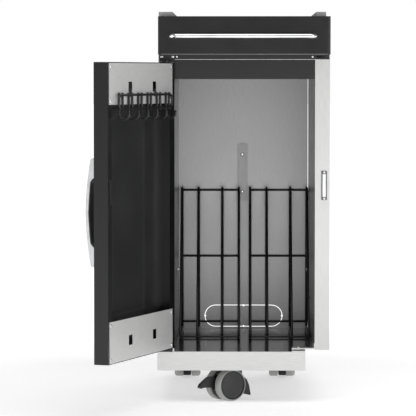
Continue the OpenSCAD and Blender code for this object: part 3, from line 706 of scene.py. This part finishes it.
def hub(name, letter, wheel_r, place):
    """A dished disc inside a raised lip, with a low boss."""
    rim = wheel_r - TYRE_THICKNESS
    profile = [(4.2 * MM, 0.0), (rim - 2 * MM, 0.0), (rim, 0.8 * MM), (rim, 20.6 * MM),
               (rim - 0.9 * MM, 21.2 * MM), (rim - 1.8 * MM, 20.6 * MM), (rim - 2.4 * MM, 18.6 * MM),
               (rim - 4 * MM, 18.0 * MM), (rim - 9 * MM, 18.3 * MM), (rim - 16 * MM, 19.0 * MM),
               (9 * MM, 19.5 * MM), (4 * MM, 19.8 * MM), (0.0, 19.9 * MM)]
    bm = bmesh.new()
    add_lathe(bm, profile, place, 72)
    piece = finish_mesh(f"{name}_hub_{letter}_disc", bm, MAT["hub"], f"{name}_wheel_{letter}",
                        angle=40)
    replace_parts(piece, f"{name}_hub_{letter}")


def pedal(matrix, trail, axle):
    """Brake lever of the front caster, with three ribs across its tread. Its outline is in mm from the axle."""
    width = 11.6 * MM
    outline = [(17, -3), (30, -6), (45, -5), (60, -4), (72, -6), (75, -3), (71, 4), (61, 11.5), (51, 19),
               (40, 21), (28, 18), (18, 12)]
    bm = bmesh.new()
    add_outline(bm, [(trail + x * MM, axle + z * MM) for x, z in outline], -width / 2, width / 2, matrix)
    for x, z in ((55, 15.2), (60, 11.6), (65, 7.9)):
        rib = [(trail + (x - 1.2) * MM, axle + (z - 1) * MM), (trail + (x + 1.2) * MM, axle + (z - 2) * MM),
               (trail + (x + 0.9) * MM, axle + (z + 0.1) * MM), (trail + (x - 0.4) * MM, axle + (z + 0.6) * MM)]
        add_outline(bm, rib, -width / 2 + 1 * MM, width / 2 - 1 * MM, matrix)
    piece = finish_mesh("front_pedal_lever", bm, MAT["black_plastic"], "front_brake")
    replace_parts(bevelled(piece, 0.7 * MM, 2), "front_pedal")


def caster(name, has_pedal):
    """Two wheels on a hood that keeps its CAD shape, with rounded edges."""
    matrix, trail, axle = caster_space(name)
    for letter, side in (("a", 1), ("b", -1)):
        place = matrix @ Matrix.Translation((trail, side * WHEEL_INSET, axle)) @ z_to((0, side, 0))
        # the axle stands one wheel radius above the floor
        tyre(name, letter, axle, place)
        hub(name, letter, axle, place)
    dress([name + "_hood"], "black_plastic", 0.8 * MM, smooth=True)
    if has_pedal:
        pedal(matrix, trail, axle)


caster("front", True)
caster("left", False)
caster("right", False)


# ---------------------------------------------------------------- camera, floor and light

CABINET_FRONT = -300 * MM
CAMERA_DISTANCE = 6.07
# width seen across the picture, on a plane that faces the camera at the aim point
PICTURE_WIDTH = 416 * 2.29 * MM


def camera():
    """Level viewpoint six metres in front, a little left of the middle, aimed at the picture's centre."""
    eye = Vector((-14 * MM, CABINET_FRONT - CAMERA_DISTANCE, 755.8 * MM))
    target = Vector((-82.7 * MM, CABINET_FRONT, 449.2 * MM))
    data = bpy.data.cameras.new("camera")
    data.sensor_width = 36
    data.angle = 2 * math.atan(0.5 * PICTURE_WIDTH / (target - eye).length)
    cam = bpy.data.objects.new("camera", data)
    cam.location = eye
    cam.rotation_euler = (target - eye).to_track_quat("-Z", "Y").to_euler()
    bpy.context.scene.collection.objects.link(cam)
    bpy.context.scene.camera = cam


def area_light(name, at, aim, size, power):
    data = bpy.data.lights.new(name, "AREA")
    data.shape = "RECTANGLE"
    data.size, data.size_y = size
    data.energy = power
    light = bpy.data.objects.new(name, data)
    light.location = at
    light.rotation_euler = (Vector(aim) - Vector(at)).to_track_quat("-Z", "Y").to_euler()
    bpy.context.scene.collection.objects.link(light)


def pale_floor():
    """A wide round floor with a painted glow that grows brighter away from the object, so that it meets a white
    surround; near the object the glow is weaker and the floor there stays darker.
    """
    radius, segments = 60.0, 64
    bm = bmesh.new()
    bm.faces.new([bm.verts.new((radius * math.cos(a), radius * math.sin(a), 0))
                  for a in (2 * math.pi * k / segments for k in range(segments))])
    mesh = bpy.data.meshes.new("floor")
    bm.to_mesh(mesh)
    bm.free()
    floor = bpy.data.objects.new("floor", mesh)
    bpy.context.scene.collection.objects.link(floor)
    material, tree, shader = new_material("pale_floor", (0.93, 0.93, 0.93), 0.9)
    tree.links.new(tint(tree, noise(tree, 3), (0.92, 0.92, 0.92), (0.94, 0.94, 0.94)),
                   shader.inputs["Base Color"])
    place = tree.nodes.new("ShaderNodeTexCoord")
    away = tree.nodes.new("ShaderNodeVectorMath")
    away.operation = "LENGTH"
    tree.links.new(place.outputs["Object"], away.inputs[0])
    shader.inputs["Emission Color"].default_value = (1, 1, 1, 1)
    # painted light: glow near the object and far from it, and the distances between which it rises
    near_glow, far_glow, near, far = 0.44, 0.95, 0.7, 2.6
    tree.links.new(ramp(tree, away.outputs["Value"], near_glow, far_glow, near, far),
                   shader.inputs["Emission Strength"])
    mesh.materials.append(material)


def surround():
    """Even light from all round, seen as white behind the object."""
    world = bpy.data.worlds.new("world")
    world.use_nodes = True
    tree = world.node_tree
    light = tree.nodes["Background"]
    light.inputs["Color"].default_value = (1, 1, 1, 1)
    light.inputs["Strength"].default_value = 0.27
    white = tree.nodes.new("ShaderNodeBackground")
    white.inputs["Color"].default_value = (1, 1, 1, 1)
    path = tree.nodes.new("ShaderNodeLightPath")
    mix = tree.nodes.new("ShaderNodeMixShader")
    tree.links.new(path.outputs["Is Camera Ray"], mix.inputs["Fac"])
    tree.links.new(light.outputs["Background"], mix.inputs[1])
    tree.links.new(white.outputs["Background"], mix.inputs[2])
    tree.links.new(mix.outputs["Shader"], tree.nodes["World Output"].inputs["Surface"])
    bpy.context.scene.world = world


def studio():
    """Soft light from all sides. Each light has a place, an aim point, a size in metres and a power in watts."""
    pale_floor()
    surround()
    area_light("top", (0.2, -1.7, 3.3), (0, -0.2, 0.2), (3.4, 2.2), 44)
    area_light("right", (2.9, -2.2, 1.0), (-0.1, -0.3, 0.4), (1.4, 2.0), 22)
    area_light("front", (1.5, -4.2, 0.9), (0, -0.3, 0.45), (0.8, 1.8), 5)
    area_light("left", (-3.2, -1.0, 1.0), (-0.4, -0.5, 0.45), (1.4, 2.0), 12)
    area_light("low", (0.2, -3.4, 0.4), (0, 0.2, 0.25), (2.4, 0.5), 4)
    area_light("rear", (0.6, 3.2, 2.6), (0, 0.2, 0.4), (2.6, 1.8), 26)
    bpy.context.scene.view_settings.view_transform = "Standard"


camera()
studio()
